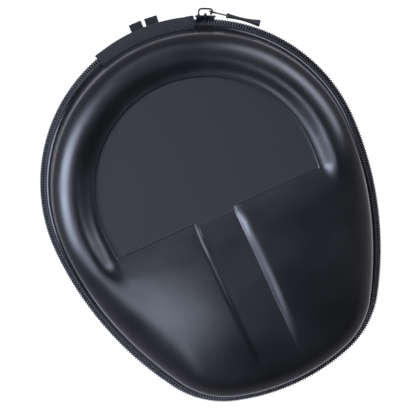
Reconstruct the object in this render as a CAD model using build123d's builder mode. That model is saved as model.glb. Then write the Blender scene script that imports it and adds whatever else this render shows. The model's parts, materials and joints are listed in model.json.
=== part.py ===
from build123d import *
from math import atan2, cos, degrees, radians, sin, sqrt, tan
import os

# Hard-shell headphone carrying case: two moulded halves joined by a fabric spine and closed by a zip,
# with a mesh pocket in the lid and two webbing tabs on the spine.
#
# Row frame: +Z up, +Y towards the wide end with the spine, origin under the middle of the case, which
# lies on its lower half. All sizes are in millimetres and all angles in degrees. A turn is an angle
# about the wide end's own centre, clockwise from +Y seen from above.

# ---- Overall size ------------------------------------------------------------------------------
case_length = 243.0  # zip line at the tail to zip line at the wide end
case_width = 205.0  # zip line to zip line across the widest place
half_depth = 52.0  # parting plane to the crest of either half

# ---- Plan outline: a wide end, flanks, corners and a tail, each arc tangent to the next ----------
corner_spread = 22.0  # middle of the case to each corner arc's centre
corner_radius = 58.0
tail_radius = 130.0

# ---- Moulded halves ----------------------------------------------------------------------------
zip_band = 5.5  # from the zip line in to the foot of the wall
wall_draft = 8.0
crest_radius = 13.0  # rounding between the wall and the top
tail_height = 26.0  # height of the top over the zip line at the tail
shell_thickness = 4.6  # EVA foam board faced with leather-look PU, moulded as one
lining_thickness = 0.6
bond_line = 0.05  # glue between one layer and the next
rim_gap = 0.4  # each half stops this far from the parting plane
flange_inset = 3.2  # edge of the shell's flange, behind the zip's coil

# ---- Relief moulded into the top of each half ---------------------------------------------------
panel_rim = 36.0  # zip line to the round side of the D-shaped panel
panel_edge_drop = 15.5  # from the wide end's centre to the panel's straight edge
panel_depth = 7.0  # crest to the panel's floor
panel_step = 1.2  # upright step around the panel
crest_land = 2.0  # level strip along the crest, which the case lies on
channel_width = 25.0  # the channel between the two lobes
channel_depth = 3.2  # where it is deepest

# ---- Zip ---------------------------------------------------------------------------------------
coil_width = 2.0
coil_height = 1.85
coil_gap = 0.45  # each coil stops this far from the parting plane
tape_thickness = 0.7
tape_edge = 0.3  # zip line to the tape's outer edge
tape_rise = 4.0  # how far the tape climbs from the coil to the foot of the wall
tape_gap = 0.2  # tape to coil, to flange and to wall
tape_tuck = 1.0  # how far the zip's ends run under the spine, as a turn
stop_length = 0.8  # end stop of the coil, as a turn

# ---- Binding inside the rim ---------------------------------------------------------------------
binding_height = 9.0
binding_thickness = 0.6

# ---- Spine, the fabric hinge --------------------------------------------------------------------
spine_proud = 1.3  # beyond the zip line, clear of the coil's ends
spine_height = 9.5  # above and below the parting plane
spine_face = 5.5  # height of its upright face
spine_fabric = 1.1
spine_gap = 0.2  # each half of the spine stops this far from the parting plane
spine_middle = 2.45  # turn
spine_half_turn = 18.35
hinge_tape_thickness = 0.6
hinge_tape_height = 4.4
hinge_tape_gap = 0.1

# ---- Webbing tabs ------------------------------------------------------------------------------
tab_width = 8.6
tab_spacing = 9.9
tab_length = 5.8
tab_webbing = 1.3
tab_top = 2.5  # below the parting plane
tab_height = 2.9  # both layers of the folded webbing
tab_gap = 0.15  # tab to spine

# ---- Slider ------------------------------------------------------------------------------------
slider_turn = 24.9  # at rest
slider_length = 13.0
slider_height = 5.6
front_plate = 1.0
front_clearance = 1.1  # to the coil, so that the lid's coil lifts past the plate
back_plate = 0.6
back_clearance = 0.2
back_height = 4.0
neck_thickness = 0.5  # web that parts the two coils
neck_length = 2.6
bridge_length = 9.6
bridge_rise = 4.4
bridge_wire = 1.2
bridge_width = 2.2
bridge_mouth = 1.1  # the bridge's free end stops this far from the plate

# ---- Pull --------------------------------------------------------------------------------------
pull_lean = 12.8  # the pull leans in towards the zip by this angle
pull_clearance = 0.95  # middle of the link's end bar to the inside of the bridge
link_thickness = 0.9
link_bar = 1.0
link_width = 4.6
link_window_width = 2.9
link_window_length = 3.6
link_stem = 2.6  # width of the stem past the window
link_length = 10.5  # from the end bar to the grip
link_tail = 4.0  # how far the stem runs into the grip
link_fit = 0.05  # stem to the grip's slot
grip_length = 21.5
grip_height = 7.0
grip_head = 3.4
grip_waist = 2.4
grip_tail = 4.0
grip_rounding = 0.8

# ---- Mesh pocket in the lid --------------------------------------------------------------------
net_thickness = 0.8
net_rise = 3.2  # parting plane to the net
net_clearance = 0.4
hem_width = 8.0
hem_thickness = 1.8
hem_drop = 8.0  # from the panel's straight edge to the pocket's hem

# ---- Places that follow from the sizes ----------------------------------------------------------
parting_z = half_depth
parting = Plane.XY.offset(parting_z)
wide_radius = case_width / 2
case_middle_y = -(spine_proud + tab_gap + tab_length) / 2
tail_y = case_middle_y - case_length / 2
wide_y = case_middle_y + case_length / 2 - wide_radius
wide_axis = Axis((0, wide_y, 0), (0, 0, -1))
spine_start = spine_middle - spine_half_turn
spine_end = spine_middle + spine_half_turn
over = 20.0  # how far a cutter reaches past what it cuts
clear = 1.0  # how far a form stands over the surface that trims it

tail_centre = (0.0, tail_y + tail_radius)
corner_reach = sqrt((tail_radius - corner_radius) ** 2 - corner_spread**2)
corner_centre = (corner_spread, tail_centre[1] - corner_reach)
corner_across = wide_radius - corner_spread
corner_along = wide_y - corner_centre[1]
flank_radius = corner_across**2 + corner_along**2 - corner_radius**2
flank_radius /= 2 * (corner_across - corner_radius)
flank_centre = (wide_radius - flank_radius, wide_y)

crest_inset = zip_band + (half_depth - crest_radius) * tan(radians(wall_draft))
crest_inset += crest_radius / cos(radians(wall_draft))
basin_run = panel_rim - crest_inset - crest_land
panel_radius = wide_radius - panel_rim
panel_edge_y = wide_y - panel_edge_drop
slope_start_y = panel_edge_y - basin_run - crest_land
slope_reach = slope_start_y - tail_y
slope_drop = half_depth - tail_height
slope_radius = (slope_reach**2 + slope_drop**2) / (2 * slope_drop)

lining_inset = shell_thickness + bond_line
binding_inset = lining_inset + lining_thickness + bond_line
net_inset = binding_inset + binding_thickness + net_clearance
hem_y = panel_edge_y - hem_drop

tape_slope = degrees(atan2(zip_band - tape_gap - tape_edge, tape_rise))
tape_low = coil_gap + coil_height + tape_gap
flange_drop = tape_gap / sin(radians(tape_slope))
flange_edge = tape_low + (flange_inset - tape_edge) / tan(radians(tape_slope)) - flange_drop
flange_climb = (zip_band - flange_inset) / tan(radians(tape_slope))

back_inner = wide_radius - coil_width - back_clearance
front_inner = wide_radius + front_clearance
slider_half_turn = degrees(slider_length / 2 / wide_radius)


def bearing(start, end):
    """Direction from one point to another, anticlockwise from +X."""
    return degrees(atan2(end[1] - start[1], end[0] - start[0]))


flank_end = bearing(flank_centre, corner_centre)
tail_end = bearing(tail_centre, corner_centre)


def case_outline(inset, height):
    """The plan outline moved in from the zip line, as a face at a height over the parting plane."""
    with BuildSketch(parting.offset(height)) as outline:
        with BuildLine():
            CenterArc((0, wide_y), wide_radius - inset, 0, 90)
            CenterArc(flank_centre, flank_radius - inset, flank_end, -flank_end)
            CenterArc(corner_centre, corner_radius - inset, tail_end, flank_end - tail_end)
            CenterArc(tail_centre, tail_radius - inset, -90, tail_end + 90)
            mirror(about=Plane.YZ)
        make_face()
    return outline.sketch


def panel_outline(outset, height):
    """The D-shaped panel grown by outset, at a height over the parting plane."""
    radius = panel_radius + outset
    edge = panel_edge_drop + outset
    start = -degrees(atan2(edge, sqrt(radius**2 - edge**2)))
    with BuildSketch(parting.offset(height)) as outline:
        with BuildLine():
            arc = CenterArc((0, wide_y), radius, start, 180 - 2 * start)
            Line(arc @ 1, arc @ 0)
        make_face()
    return outline.sketch


def side_profile(inset):
    """Side view of a half: level over the ring, then one long curve down to the tail."""
    top = parting_z + half_depth - inset
    radius = slope_radius - inset
    reach = slope_reach + over
    low = top - radius + sqrt(radius**2 - reach**2)
    front = wide_y + wide_radius + over
    with BuildSketch(Plane.YZ) as profile:
        with BuildLine():
            level = Line((front, top), (slope_start_y, top))
            slope = RadiusArc(level @ 1, (slope_start_y - reach, low), -radius)
            base = parting_z - over
            Polyline(slope @ 1, (slope_start_y - reach, base), (front, base), level @ 0)
        make_face()
    return profile.sketch


def channel_profile(inset):
    """Side view of the channel's cutter: a rise from the panel's step, then a curve to the tail."""
    step_top = parting_z + half_depth - panel_depth + panel_step - inset
    crown = parting_z + half_depth - channel_depth - inset
    end_y = tail_y + zip_band + crest_radius
    end_fall = slope_radius - sqrt(slope_radius**2 - (slope_start_y - end_y) ** 2)
    end = (end_y, parting_z + half_depth - end_fall - inset)
    past = (tail_y - over, end[1] - slope_drop)
    top = parting_z + half_depth + over
    with BuildSketch(Plane.YZ) as profile:
        with BuildLine():
            rise = Line((panel_edge_y + inset, step_top), (slope_start_y, crown))
            bow = TangentArc(rise @ 1, end, tangent=(-1, 0))
            Polyline(bow @ 1, past, (past[0], top), (panel_edge_y + inset, top), rise @ 0)
        make_face()
    return profile.sketch


def moulded_form(inset):
    """All that lies inside a half's outer surface by inset or more, from the parting plane up."""
    floor = half_depth - panel_depth - inset
    slope_foot = floor + panel_step
    slope_top = half_depth - inset + clear
    run = basin_run * (slope_top - slope_foot) / (panel_depth - panel_step)
    with BuildPart(mode=Mode.PRIVATE) as basin:
        loft([panel_outline(inset, slope_foot), panel_outline(inset + run, slope_top)])
    with BuildPart() as form:
        extrude(case_outline(zip_band + inset, 0), amount=half_depth + clear, taper=wall_draft)
        extrude(side_profile(inset), amount=case_width, both=True, mode=Mode.INTERSECT)
        tops = form.faces().sort_by(Axis.Z)[-2:]
        shared = tops[0].edges() & tops[1].edges()
        rim = [edge for edge in tops.edges() if edge not in shared]
        fillet(rim, radius=crest_radius - inset)
        extrude(panel_outline(inset, floor), amount=panel_step, mode=Mode.SUBTRACT)
        add(basin.part, mode=Mode.SUBTRACT)
        extrude(channel_profile(inset), amount=channel_width / 2 + inset, both=True, mode=Mode.SUBTRACT)
    return form.part


def slab(low, high):
    """A level slab over the whole case, between two heights over the parting plane."""
    with BuildPart() as block:
        with BuildSketch(parting.offset(low)):
            with Locations((0, case_middle_y)):
                Rectangle(case_width + 2 * over, case_length + 2 * over)
        extrude(amount=high - low)
    return block.part


def wedge(start, end):
    """A tall wedge from the wide end's centre out past the spine, between two turns."""
    reach = 2 * wide_radius
    with BuildPart() as block:
        with BuildSketch(parting.offset(-half_depth)):
            with BuildLine():
                left = (reach * sin(radians(start)), wide_y + reach * cos(radians(start)))
                right = (reach * sin(radians(end)), wide_y + reach * cos(radians(end)))
                Polyline((0, wide_y), left, right, (0, wide_y))
            make_face()
        extrude(amount=2 * half_depth)
    return block.part


def radial_plane(turn):
    """Upright plane at a turn: its X is the distance from the wide end's centre, its Y is up."""
    out = (sin(radians(turn)), cos(radians(turn)), 0)
    return Plane(origin=(0, wide_y, parting_z), x_dir=out, z_dir=(out[1], -out[0], 0))


def zip_plane(turn):
    """Level plane on the zip line at a turn: its X runs along the zip, its Y points outwards."""
    out = (sin(radians(turn)), cos(radians(turn)), 0)
    place = (wide_radius * out[0], wide_y + wide_radius * out[1], parting_z)
    return Plane(origin=place, x_dir=(out[1], -out[0], 0), z_dir=(0, 0, 1))


# ---- Lid: the moulded shell with its flange, and the fleece lining glued into it -----------------
with BuildPart() as lid_shell:
    extrude(case_outline(flange_inset, 0), amount=flange_edge)
    extrude(case_outline(flange_inset, flange_edge), amount=flange_climb, taper=tape_slope)
    add(moulded_form(0))
    add(moulded_form(shell_thickness), mode=Mode.SUBTRACT)
    add(slab(-over, rim_gap), mode=Mode.SUBTRACT)

with BuildPart() as lid_lining:
    add(moulded_form(lining_inset))
    add(moulded_form(lining_inset + lining_thickness), mode=Mode.SUBTRACT)
    add(slab(-over, rim_gap), mode=Mode.SUBTRACT)

with BuildPart() as lid_binding:
    extrude(case_outline(zip_band + binding_inset, 0), amount=binding_height, taper=wall_draft)
    inner_inset = binding_inset + binding_thickness
    extrude(
        case_outline(zip_band + inner_inset, 0),
        amount=binding_height,
        taper=wall_draft,
        mode=Mode.SUBTRACT,
    )
    add(slab(-over, rim_gap), mode=Mode.SUBTRACT)

# ---- Zip on the lid: a sloping tape and the coil at its edge ------------------------------------
under_spine = wedge(spine_start + tape_tuck, spine_end - tape_tuck)

with BuildPart() as lid_tape:
    tape_top = tape_low + tape_thickness
    extrude(case_outline(tape_edge, tape_low), amount=tape_thickness)
    extrude(case_outline(tape_edge, tape_top), amount=tape_rise, taper=tape_slope)
    extrude(case_outline(tape_edge, tape_low), amount=tape_rise, taper=tape_slope, mode=Mode.SUBTRACT)
    inner_edge = case_outline(zip_band - tape_gap, tape_low)
    extrude(inner_edge, amount=2 * tape_rise, mode=Mode.SUBTRACT)
    add(under_spine, mode=Mode.SUBTRACT)

with BuildPart() as lid_coil:
    extrude(case_outline(0, coil_gap), amount=coil_height)
    extrude(case_outline(coil_width, coil_gap), amount=coil_height, mode=Mode.SUBTRACT)
    add(under_spine, mode=Mode.SUBTRACT)

with BuildPart() as lid_stops:
    for turn in (spine_start + tape_tuck, spine_end - tape_tuck - stop_length):
        with BuildSketch(radial_plane(turn)):
            with Locations((wide_radius - coil_width / 2, coil_gap + coil_height / 2)):
                Rectangle(coil_width, coil_height)
        revolve(axis=wide_axis, revolution_arc=stop_length)

# ---- Spine: one strip of fabric, folded along the parting plane ---------------------------------
with BuildPart() as spine_upper:
    face = wide_radius + spine_proud
    wall_at_top = wide_radius - zip_band - spine_height * tan(radians(wall_draft))
    slope_turn = atan2(spine_height - spine_face, face - wall_at_top)
    slope_fabric = spine_fabric / cos(slope_turn)  # the fabric's thickness measured upright
    with BuildSketch(radial_plane(spine_start)):
        with BuildLine():
            Polyline(
                (face, spine_gap),
                (face, spine_face),
                (wall_at_top, spine_height),
                (wall_at_top, spine_height - slope_fabric),
                (face - spine_fabric, spine_face - spine_fabric / 2),
                (face - spine_fabric, spine_gap),
                (face, spine_gap),
            )
        make_face()
    revolve(axis=wide_axis, revolution_arc=2 * spine_half_turn)
    extrude(
        case_outline(zip_band - bond_line, 0),
        amount=half_depth,
        taper=wall_draft,
        mode=Mode.SUBTRACT,
    )

with BuildPart() as hinge_tape_upper:
    tape_turn = spine_half_turn - tape_tuck - stop_length
    tape_outer = wide_radius + spine_proud - spine_fabric - hinge_tape_gap
    with BuildSketch(radial_plane(spine_middle - tape_turn)):
        with Locations((tape_outer - hinge_tape_thickness / 2, (hinge_tape_height + spine_gap) / 2)):
            Rectangle(hinge_tape_thickness, hinge_tape_height - spine_gap)
    revolve(axis=wide_axis, revolution_arc=2 * tape_turn)

# ---- Mesh pocket in the lid --------------------------------------------------------------------
with BuildPart() as pocket_net:
    extrude(case_outline(zip_band + net_inset, 0), amount=2 * net_rise, taper=wall_draft)
    add(slab(net_rise, net_rise + net_thickness), mode=Mode.INTERSECT)
    with BuildSketch(parting):
        with Locations((0, hem_y + bond_line)):
            Rectangle(case_width, case_length, align=(Align.CENTER, Align.MAX))
    extrude(amount=half_depth, mode=Mode.SUBTRACT)

with BuildPart() as pocket_hem:
    hem_low = net_rise + net_thickness / 2 - hem_thickness / 2
    extrude(case_outline(zip_band + net_inset, 0), amount=2 * net_rise, taper=wall_draft)
    add(slab(hem_low, hem_low + hem_thickness), mode=Mode.INTERSECT)
    with BuildSketch(parting):
        with Locations((0, hem_y)):
            Rectangle(case_width, hem_width, align=(Align.CENTER, Align.MAX))
    extrude(amount=half_depth, mode=Mode.INTERSECT)

# ---- Webbing tabs, each folded in two and sewn to the spine below the parting plane ---------------
tab_turn = degrees(tab_spacing / 2 / (wide_radius + spine_proud))


def webbing_tab(turn):
    """One strip of webbing folded in two, its open end at the spine."""
    root = wide_radius + spine_proud + tab_gap
    middle = -tab_top - tab_height / 2
    with BuildPart() as tab:
        with BuildSketch(radial_plane(turn)):
            with Locations((root, middle)):
                Rectangle(tab_length, tab_height, align=(Align.MIN, Align.CENTER))
            fillet(vertices().group_by(Axis.X)[-1], radius=tab_height / 2 - bond_line)
            with Locations((root, middle)):
                Rectangle(
                    tab_length - tab_height / 2,
                    tab_height - 2 * tab_webbing,
                    align=(Align.MIN, Align.CENTER),
                    mode=Mode.SUBTRACT,
                )
        extrude(amount=tab_width / 2, both=True)
    return tab.part


with BuildPart() as webbing_tab_left:
    add(webbing_tab(spine_middle - tab_turn))

with BuildPart() as webbing_tab_right:
    add(webbing_tab(spine_middle + tab_turn))

# ---- Slider: two plates joined by a neck between the coils, with a bridge for the pull -----------
plate_face = front_inner + front_plate - wide_radius  # from the zip line out to the front plate's face
bridge_foot = plate_face - front_plate / 2

with BuildPart() as zip_slider:
    with BuildSketch(radial_plane(slider_turn - slider_half_turn)):
        with Locations((front_inner + front_plate / 2, 0)):
            Rectangle(front_plate, slider_height)
        with Locations((back_inner - back_plate / 2, 0)):
            Rectangle(back_plate, back_height)
    revolve(axis=wide_axis, revolution_arc=2 * slider_half_turn)
    with BuildSketch(zip_plane(slider_turn).offset(-neck_thickness / 2)):
        with Locations((0, back_inner - back_plate / 2 - wide_radius)):
            neck_reach = front_inner - back_inner + (front_plate + back_plate) / 2
            Rectangle(neck_length, neck_reach, align=(Align.CENTER, Align.MIN))
    extrude(amount=neck_thickness)
    with BuildSketch(zip_plane(slider_turn).offset(-bridge_width / 2)):
        arch_top = plate_face + bridge_rise
        with BuildLine():
            Polyline(
                (-bridge_length / 2, bridge_foot),
                (-bridge_length / 2, arch_top),
                (bridge_length / 2, arch_top),
                (bridge_length / 2, plate_face + bridge_mouth),
                (bridge_length / 2 - bridge_wire, plate_face + bridge_mouth),
                (bridge_length / 2 - bridge_wire, arch_top - bridge_wire),
                (bridge_wire - bridge_length / 2, arch_top - bridge_wire),
                (bridge_wire - bridge_length / 2, bridge_foot),
                (-bridge_length / 2, bridge_foot),
            )
        make_face()
        fillet(vertices().group_by(Axis.Y)[-1], radius=1.5 * bridge_wire)
        inner_corners = vertices().group_by(Axis.Y)[-2]
        fillet(inner_corners, radius=bridge_wire / 2)
    extrude(amount=bridge_width)

# ---- Pull: a flat metal link through the bridge and a moulded grip ------------------------------
pull_turn = slider_turn + pull_lean
pivot_x = bridge_length / 2 - bridge_wire - pull_clearance
pivot_y = arch_top - bridge_wire - pull_clearance
pivot = zip_plane(slider_turn).from_local_coords(Vector(pivot_x, pivot_y, 0))
pull_along = (cos(radians(pull_turn)), -sin(radians(pull_turn)), 0)
pull_side = Plane(origin=pivot, x_dir=pull_along, z_dir=(pull_along[1], -pull_along[0], 0))
pull_level = Plane(origin=pivot, x_dir=pull_along, z_dir=(0, 0, 1))
frame_length = 2 * link_bar + link_window_length
stem_length = link_length + link_tail + link_bar / 2

with BuildPart() as pull_link:
    with BuildSketch(pull_side):
        with Locations((-link_bar / 2, 0)):
            Rectangle(frame_length, link_width, align=(Align.MIN, Align.CENTER))
            Rectangle(stem_length, link_stem, align=(Align.MIN, Align.CENTER))
        with Locations((link_bar / 2, 0)):
            Rectangle(
                link_window_length,
                link_window_width,
                align=(Align.MIN, Align.CENTER),
                mode=Mode.SUBTRACT,
            )
    extrude(amount=link_thickness / 2, both=True)

with BuildPart() as pull_grip:
    with BuildSketch(pull_level):
        with BuildLine():
            start = (link_length, grip_head / 2)
            waist = (link_length + grip_length / 3, grip_waist / 2)
            end = (link_length + grip_length, grip_tail / 2)
            side = Spline(start, waist, end)
            Line(side @ 1, (end[0], 0))
            Line((start[0], 0), side @ 0)
            mirror(about=Plane.XZ)
        make_face()
    extrude(amount=grip_height / 2, both=True)
    fillet(pull_grip.edges(), radius=grip_rounding)
    with BuildSketch(pull_side):
        with Locations((link_length - over, 0)):
            slot_length = over + link_tail + link_fit
            Rectangle(slot_length, link_stem + 2 * link_fit, align=(Align.MIN, Align.CENTER))
    extrude(amount=link_thickness / 2 + link_fit, both=True, mode=Mode.SUBTRACT)

# ---- Write the parts, the lower half as the upper half's mirror image ----------------------------
pieces = {
    "lid_shell": lid_shell,
    "lid_lining": lid_lining,
    "lid_binding": lid_binding,
    "lid_zip_tape": lid_tape,
    "lid_zip_coil": lid_coil,
    "lid_zip_stops": lid_stops,
    "spine_upper": spine_upper,
    "hinge_tape_upper": hinge_tape_upper,
    "pocket_net": pocket_net,
    "pocket_hem": pocket_hem,
    "webbing_tab_left": webbing_tab_left,
    "webbing_tab_right": webbing_tab_right,
    "zip_slider": zip_slider,
    "pull_link": pull_link,
    "pull_grip": pull_grip,
}

mirrored = {
    "base_shell": lid_shell,
    "base_lining": lid_lining,
    "base_binding": lid_binding,
    "base_zip_tape": lid_tape,
    "base_zip_coil": lid_coil,
    "base_zip_stops": lid_stops,
    "spine_lower": spine_upper,
    "hinge_tape_lower": hinge_tape_upper,
}

for name, upper in mirrored.items():
    with BuildPart() as lower:
        mirror(upper.part, about=parting)
    pieces[name] = lower

os.makedirs("parts", exist_ok=True)
for name, piece in pieces.items():
    piece.part.label = name
    export_step(piece.part, f"parts/{name}.step")
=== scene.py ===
import json
import math

import bmesh
import bpy
import numpy as np
from mathutils import Matrix, Vector


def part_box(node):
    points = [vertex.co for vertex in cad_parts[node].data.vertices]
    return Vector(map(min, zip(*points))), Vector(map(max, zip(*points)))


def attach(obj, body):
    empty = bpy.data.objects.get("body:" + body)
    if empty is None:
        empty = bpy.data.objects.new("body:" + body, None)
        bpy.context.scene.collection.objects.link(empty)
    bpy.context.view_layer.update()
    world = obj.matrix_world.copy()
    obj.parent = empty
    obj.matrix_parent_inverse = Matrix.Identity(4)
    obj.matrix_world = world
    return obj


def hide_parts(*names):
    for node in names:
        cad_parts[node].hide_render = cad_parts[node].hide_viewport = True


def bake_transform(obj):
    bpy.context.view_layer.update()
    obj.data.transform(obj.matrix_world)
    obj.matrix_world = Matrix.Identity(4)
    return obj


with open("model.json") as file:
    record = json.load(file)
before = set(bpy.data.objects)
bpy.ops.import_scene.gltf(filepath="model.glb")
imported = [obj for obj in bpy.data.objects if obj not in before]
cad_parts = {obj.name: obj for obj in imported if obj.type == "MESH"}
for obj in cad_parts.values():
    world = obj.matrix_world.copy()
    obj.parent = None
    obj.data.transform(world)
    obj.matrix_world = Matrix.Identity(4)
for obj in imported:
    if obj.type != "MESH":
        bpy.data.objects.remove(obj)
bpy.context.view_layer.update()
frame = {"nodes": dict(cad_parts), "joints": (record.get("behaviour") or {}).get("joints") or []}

bpy.ops.object.select_all(action="DESELECT")

# ---- Moulded shells ------------------------------------------------------------------------------
# Each half is one sheet of EVA foam board with a leather-look PU face, pressed hot into its form:
# a drafted wall, a rounded ring, a sunken D-shaped panel, and a channel between two lobes.
# Its foot carries a flange that the zip's tape is sewn to. The lower half is the upper one's mirror.
MM = 0.001
pivots = {joint["name"]: joint["pos_m"] for joint in frame["joints"]}
lid_low, lid_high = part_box("lid_shell")
parting = pivots["lid_hinge"][2] / MM
wide_y = pivots["slider_run"][1] / MM
wide_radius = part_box("lid_zip_coil")[1].x / MM
flange_inset = 3.2
tail_y = lid_low.y / MM - flange_inset
crest = lid_high.z / MM - parting
corner_radius, tail_radius, corner_spread = 58.0, 130.0, 22.0
wall_foot, draft = 5.5, math.radians(8.0)
shoulder, lobe_shoulder, tail_shoulder = 13.0, 38.0, 22.0
tail_crest, crown_across = 26.0, 210.0
panel_rim, panel_floor, panel_step, panel_lip = 36.0, crest - 7.0, 1.2, 1.3
ring_slope, lobe_slope = 11.9, 24.0
channel_x, channel_half, channel_walls, channel_deep = -2.1, 11.9, (3.4, 5.8), 1.9
board = 4.6

tail_centre = tail_y + tail_radius
corner_y = tail_centre - math.sqrt((tail_radius - corner_radius) ** 2 - corner_spread**2)
across, along = wide_radius - corner_spread, wide_y - corner_y
flank_radius = (across**2 + along**2 - corner_radius**2) / (2 * (across - corner_radius))
flank_turn = math.atan2(corner_y - wide_y, corner_spread - wide_radius + flank_radius)
tail_turn = math.atan2(corner_y - tail_centre, corner_spread)
# centre x, centre y, radius, bearing where the arc starts and where it ends
arcs = np.array([
    (0, wide_y, wide_radius, math.pi / 2, 0),
    (wide_radius - flank_radius, wide_y, flank_radius, 0, flank_turn),
    (corner_spread, corner_y, corner_radius, flank_turn, tail_turn),
    (0, tail_centre, tail_radius, tail_turn, -math.pi / 2),
])
arc_lengths = arcs[:, 2] * (arcs[:, 3] - arcs[:, 4])
arc_ends = np.cumsum(arc_lengths)
half_run = arc_ends[-1]
panel_edge = wide_y - 16.3
slope_start = panel_edge - 40.0
slope_reach, slope_drop = slope_start - tail_y, crest - tail_crest
slope_radius = (slope_reach**2 + slope_drop**2) / (2 * slope_drop)


class Spokes:
    """Lines square to the zip line, at lengths run along it, clockwise from the middle of the wide end."""

    def __init__(self, run):
        run = np.asarray(run, float) % (2 * half_run)
        self.side = np.where(run > half_run, -1.0, 1.0)
        run = np.where(run > half_run, 2 * half_run - run, run)
        which = np.minimum(np.searchsorted(arc_ends, run, side="left"), 3)
        self.x, self.y, self.radius, start, _ = arcs[which].T
        self.bearing = start - (run - (arc_ends - arc_lengths)[which]) / self.radius
        self.out = np.stack([self.side * np.cos(self.bearing), np.sin(self.bearing)], 1)
        self.foot = self.radius * np.cos(self.bearing)
        self.keep = np.where(which == 3, 1 - soft_ramp((self.foot - 14) / 22, 0.5), 0.0)

    def at(self, inset):
        """Plan points at insets from the zip line: one row of insets for each spoke."""
        inset = np.asarray(inset, float)
        reach = self.radius[:, None] - inset
        x = reach * np.cos(self.bearing)[:, None]
        y = reach * np.sin(self.bearing)[:, None]
        held = self.keep[:, None]
        x = x + held * (self.foot[:, None] - x)
        y = np.where(held > 0, -np.sqrt(np.maximum(reach**2 - x**2, 0)), y)
        return self.side[:, None] * (self.x[:, None] + x), self.y[:, None] + y


def soft_ramp(share, soft):
    """Rises from 0 to 1 as share does: straight in the middle, eased over soft at both ends."""
    t = np.clip(share, 0, 1)
    rise = 1 / (1 - soft)
    low = rise * t**2 / (2 * soft)
    high = 1 - rise * (1 - t) ** 2 / (2 * soft)
    return np.where(t < soft, low, np.where(t > 1 - soft, high, rise * (t - soft / 2)))


def lobe_share(y):
    """0 on the ring and 1 on the lobes, which are rounder."""
    return soft_ramp((16.0 - y) / 76.0, 0.3)


def shoulder_at(y):
    """Radius of the roll from the wall to the top: tight round the ring, full on the lobes."""
    full = shoulder + (lobe_shoulder - shoulder) * lobe_share(y)
    return full - (lobe_shoulder - tail_shoulder) * soft_ramp((-60.0 - y) / 45.0, 0.5)


def crown_height(x, y, depth):
    """Height over the parting plane of a half's crown, depth inside its outer face, before anything is sunk in it."""
    slope, roof = slope_radius - depth, crown_across - depth
    along = slope - np.sqrt(np.maximum(slope**2 - np.minimum(y - slope_start, 0) ** 2, 0))
    across = roof - np.sqrt(roof**2 - np.clip(np.abs(x) - 10.0, 0, 100.0) ** 2)
    return crest - depth - along - across * lobe_share(y)


def edge_line(x):
    """Where the panel's straight edge runs: set back a little across the channel."""
    return panel_edge - 1.9 * soft_ramp((channel_half + 1.0 - np.abs(x - channel_x)) / 1.6, 0.4)


def sunk(x, y, depth):
    """How far the top is sunk below the crown by the panel's basin, its step and the channel."""
    flank = np.hypot(np.abs(x) - wide_radius + flank_radius, y - wide_y)
    inset = np.where(y > wide_y, wide_radius - np.hypot(x, y - wide_y), flank_radius - flank)
    behind = edge_line(x) - y
    ring_dip = 1 - soft_ramp((panel_rim - depth - inset) / ring_slope, 0.42)
    lobe_dip = np.clip(1 - (behind - depth) / lobe_slope, 0, 1) ** 2.2
    basin = (crown_height(x, y, depth) + depth - panel_floor - panel_step) * ring_dip * lobe_dip
    inside = np.minimum(inset - panel_rim, -behind) + depth
    step = panel_step * soft_ramp(inside / panel_lip, 0.5)
    wall = np.where(x < channel_x, *channel_walls)
    roll = np.clip(1 - (np.abs(x - channel_x) - channel_half - depth) / wall, 0, 1) ** 2
    length = soft_ramp((y + 110.0) / 52.0, 0.4) * (0.5 + 0.5 * soft_ramp(behind / 12.0, 0.4))
    return basin + np.maximum(step, channel_deep * roll * length * (y < 0))


def top_height(x, y, depth):
    """Height of the top face, depth inside its outer face."""
    return crown_height(x, y, depth) - sunk(x, y, depth)


def places_of(piece):
    """A piece's vertices, one row of x, y and z for each."""
    return np.array([vertex.co for vertex in piece.data.vertices])


def placed(piece, places):
    """Moves a piece's vertices to new places."""
    piece.data.vertices.foreach_set("co", places.astype(np.float32).ravel())
    piece.data.update()


def wrapped(name, points):
    """A grid laid over points[spoke, ring], closed or open as they are, as a new object."""
    across, up = points.shape[:2]
    bpy.ops.mesh.primitive_grid_add(x_subdivisions=across - 1, y_subdivisions=up - 1, size=1)
    piece = bpy.context.object
    piece.name = piece.data.name = name
    co = places_of(piece)
    spoke = np.rint((co[:, 0] + 0.5) * (across - 1)).astype(int)
    ring = np.rint((co[:, 1] + 0.5) * (up - 1)).astype(int)
    placed(piece, points[spoke, ring] * MM)
    return piece


def joined(name, *pieces):
    """The pieces as one object."""
    bpy.ops.object.select_all(action="DESELECT")
    for piece in pieces:
        piece.select_set(True)
    bpy.context.view_layer.objects.active = pieces[0]
    if len(pieces) > 1:
        bpy.ops.object.join()
    pieces[0].name = pieces[0].data.name = name
    return pieces[0]


def editing():
    """Opens the active piece for editing, with all of it selected."""
    bpy.ops.object.mode_set(mode="EDIT")
    bpy.ops.mesh.select_all(action="SELECT")


def smoothed(angle):
    """Smooths the active piece, but for the edges that turn by more than an angle."""
    bpy.ops.object.shade_smooth_by_angle(angle=math.radians(angle))


def edited():
    """Closes the active piece after editing."""
    bpy.ops.object.mode_set(mode="OBJECT")


def closed(piece, smooth=35):
    """Merges a piece's seams, turns its faces outwards and smooths all but its sharp edges."""
    joined(piece.name, piece)
    editing()
    bpy.ops.mesh.remove_doubles(threshold=2e-6)
    bpy.ops.mesh.dissolve_degenerate(threshold=1e-7)
    bpy.ops.mesh.normals_make_consistent(inside=False)
    edited()
    smoothed(smooth)
    return piece


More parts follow.
